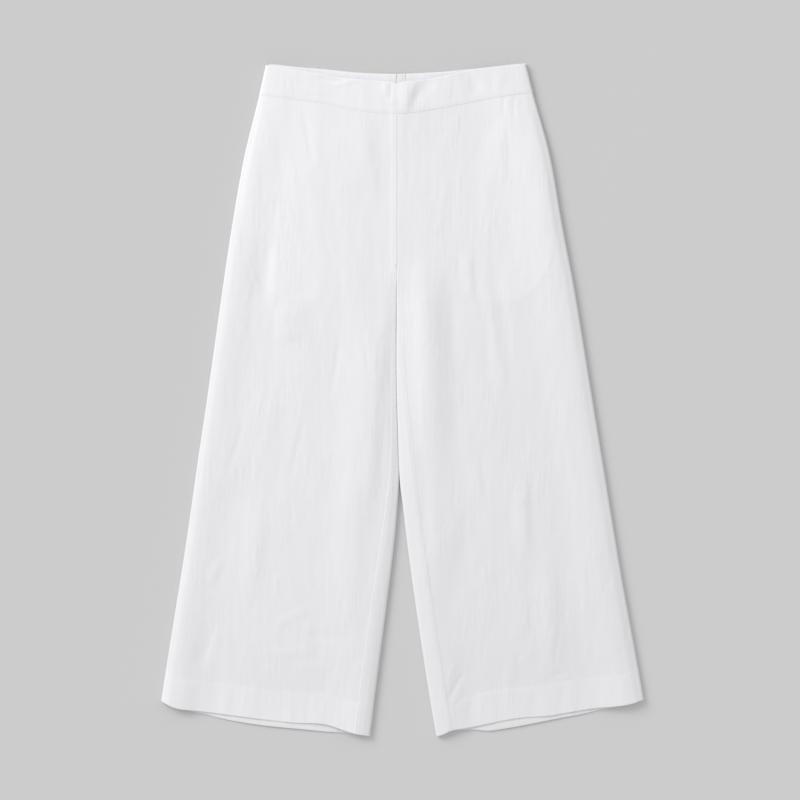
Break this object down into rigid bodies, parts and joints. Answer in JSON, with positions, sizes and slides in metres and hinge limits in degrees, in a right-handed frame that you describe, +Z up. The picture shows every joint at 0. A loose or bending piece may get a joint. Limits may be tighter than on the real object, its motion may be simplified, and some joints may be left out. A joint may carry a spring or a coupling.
{
  "type": "culottes",
  "caption": "Wide-legged cropped linen trousers laid flat face up, with a shaped waistband, pocket bags, turned-up hems and a zip at the back.",
  "frame": {"origin": "middle of the flat underside, where the laid garment rests", "axes": "+Z up through the garment's front, +Y from the hems to the waist, +X towards the wearer's left leg"},
  "size_m": [0.688, 0.9602, 0.0081],
  "materials": {
    "linen": "white mid-weight linen, plain weave with soft slubs",
    "zip_tape": "white woven polyester tape",
    "zip_coil": "white moulded nylon coil",
    "enamel": "white enamel on die-cast zinc"
  },
  "bodies": {
    "garment": {"front_leg_right": "linen", "front_leg_left": "linen", "back_leg_right": "linen", "back_leg_left": "linen", "waistband_front": "linen", "waistband_back_right": "linen", "waistband_back_left": "linen", "waist_facing_back_right": "linen", "waist_facing_back_left": "linen", "pocket_bag_right": "linen", "pocket_bag_left": "linen", "zip_tape_right": "zip_tape", "zip_tape_left": "zip_tape", "zip_coil": "zip_coil", "zip_slider": "enamel"},
    "pull": {"zip_pull": "enamel"}
  },
  "joints": [
    {"name": "pull_hinge", "type": "hinge", "parent": "garment", "child": "pull", "pos_m": [-0.00769, 0.44295, 0.00097], "axis": [1, 0, 0], "range_deg": [0, 170]}
  ]
}
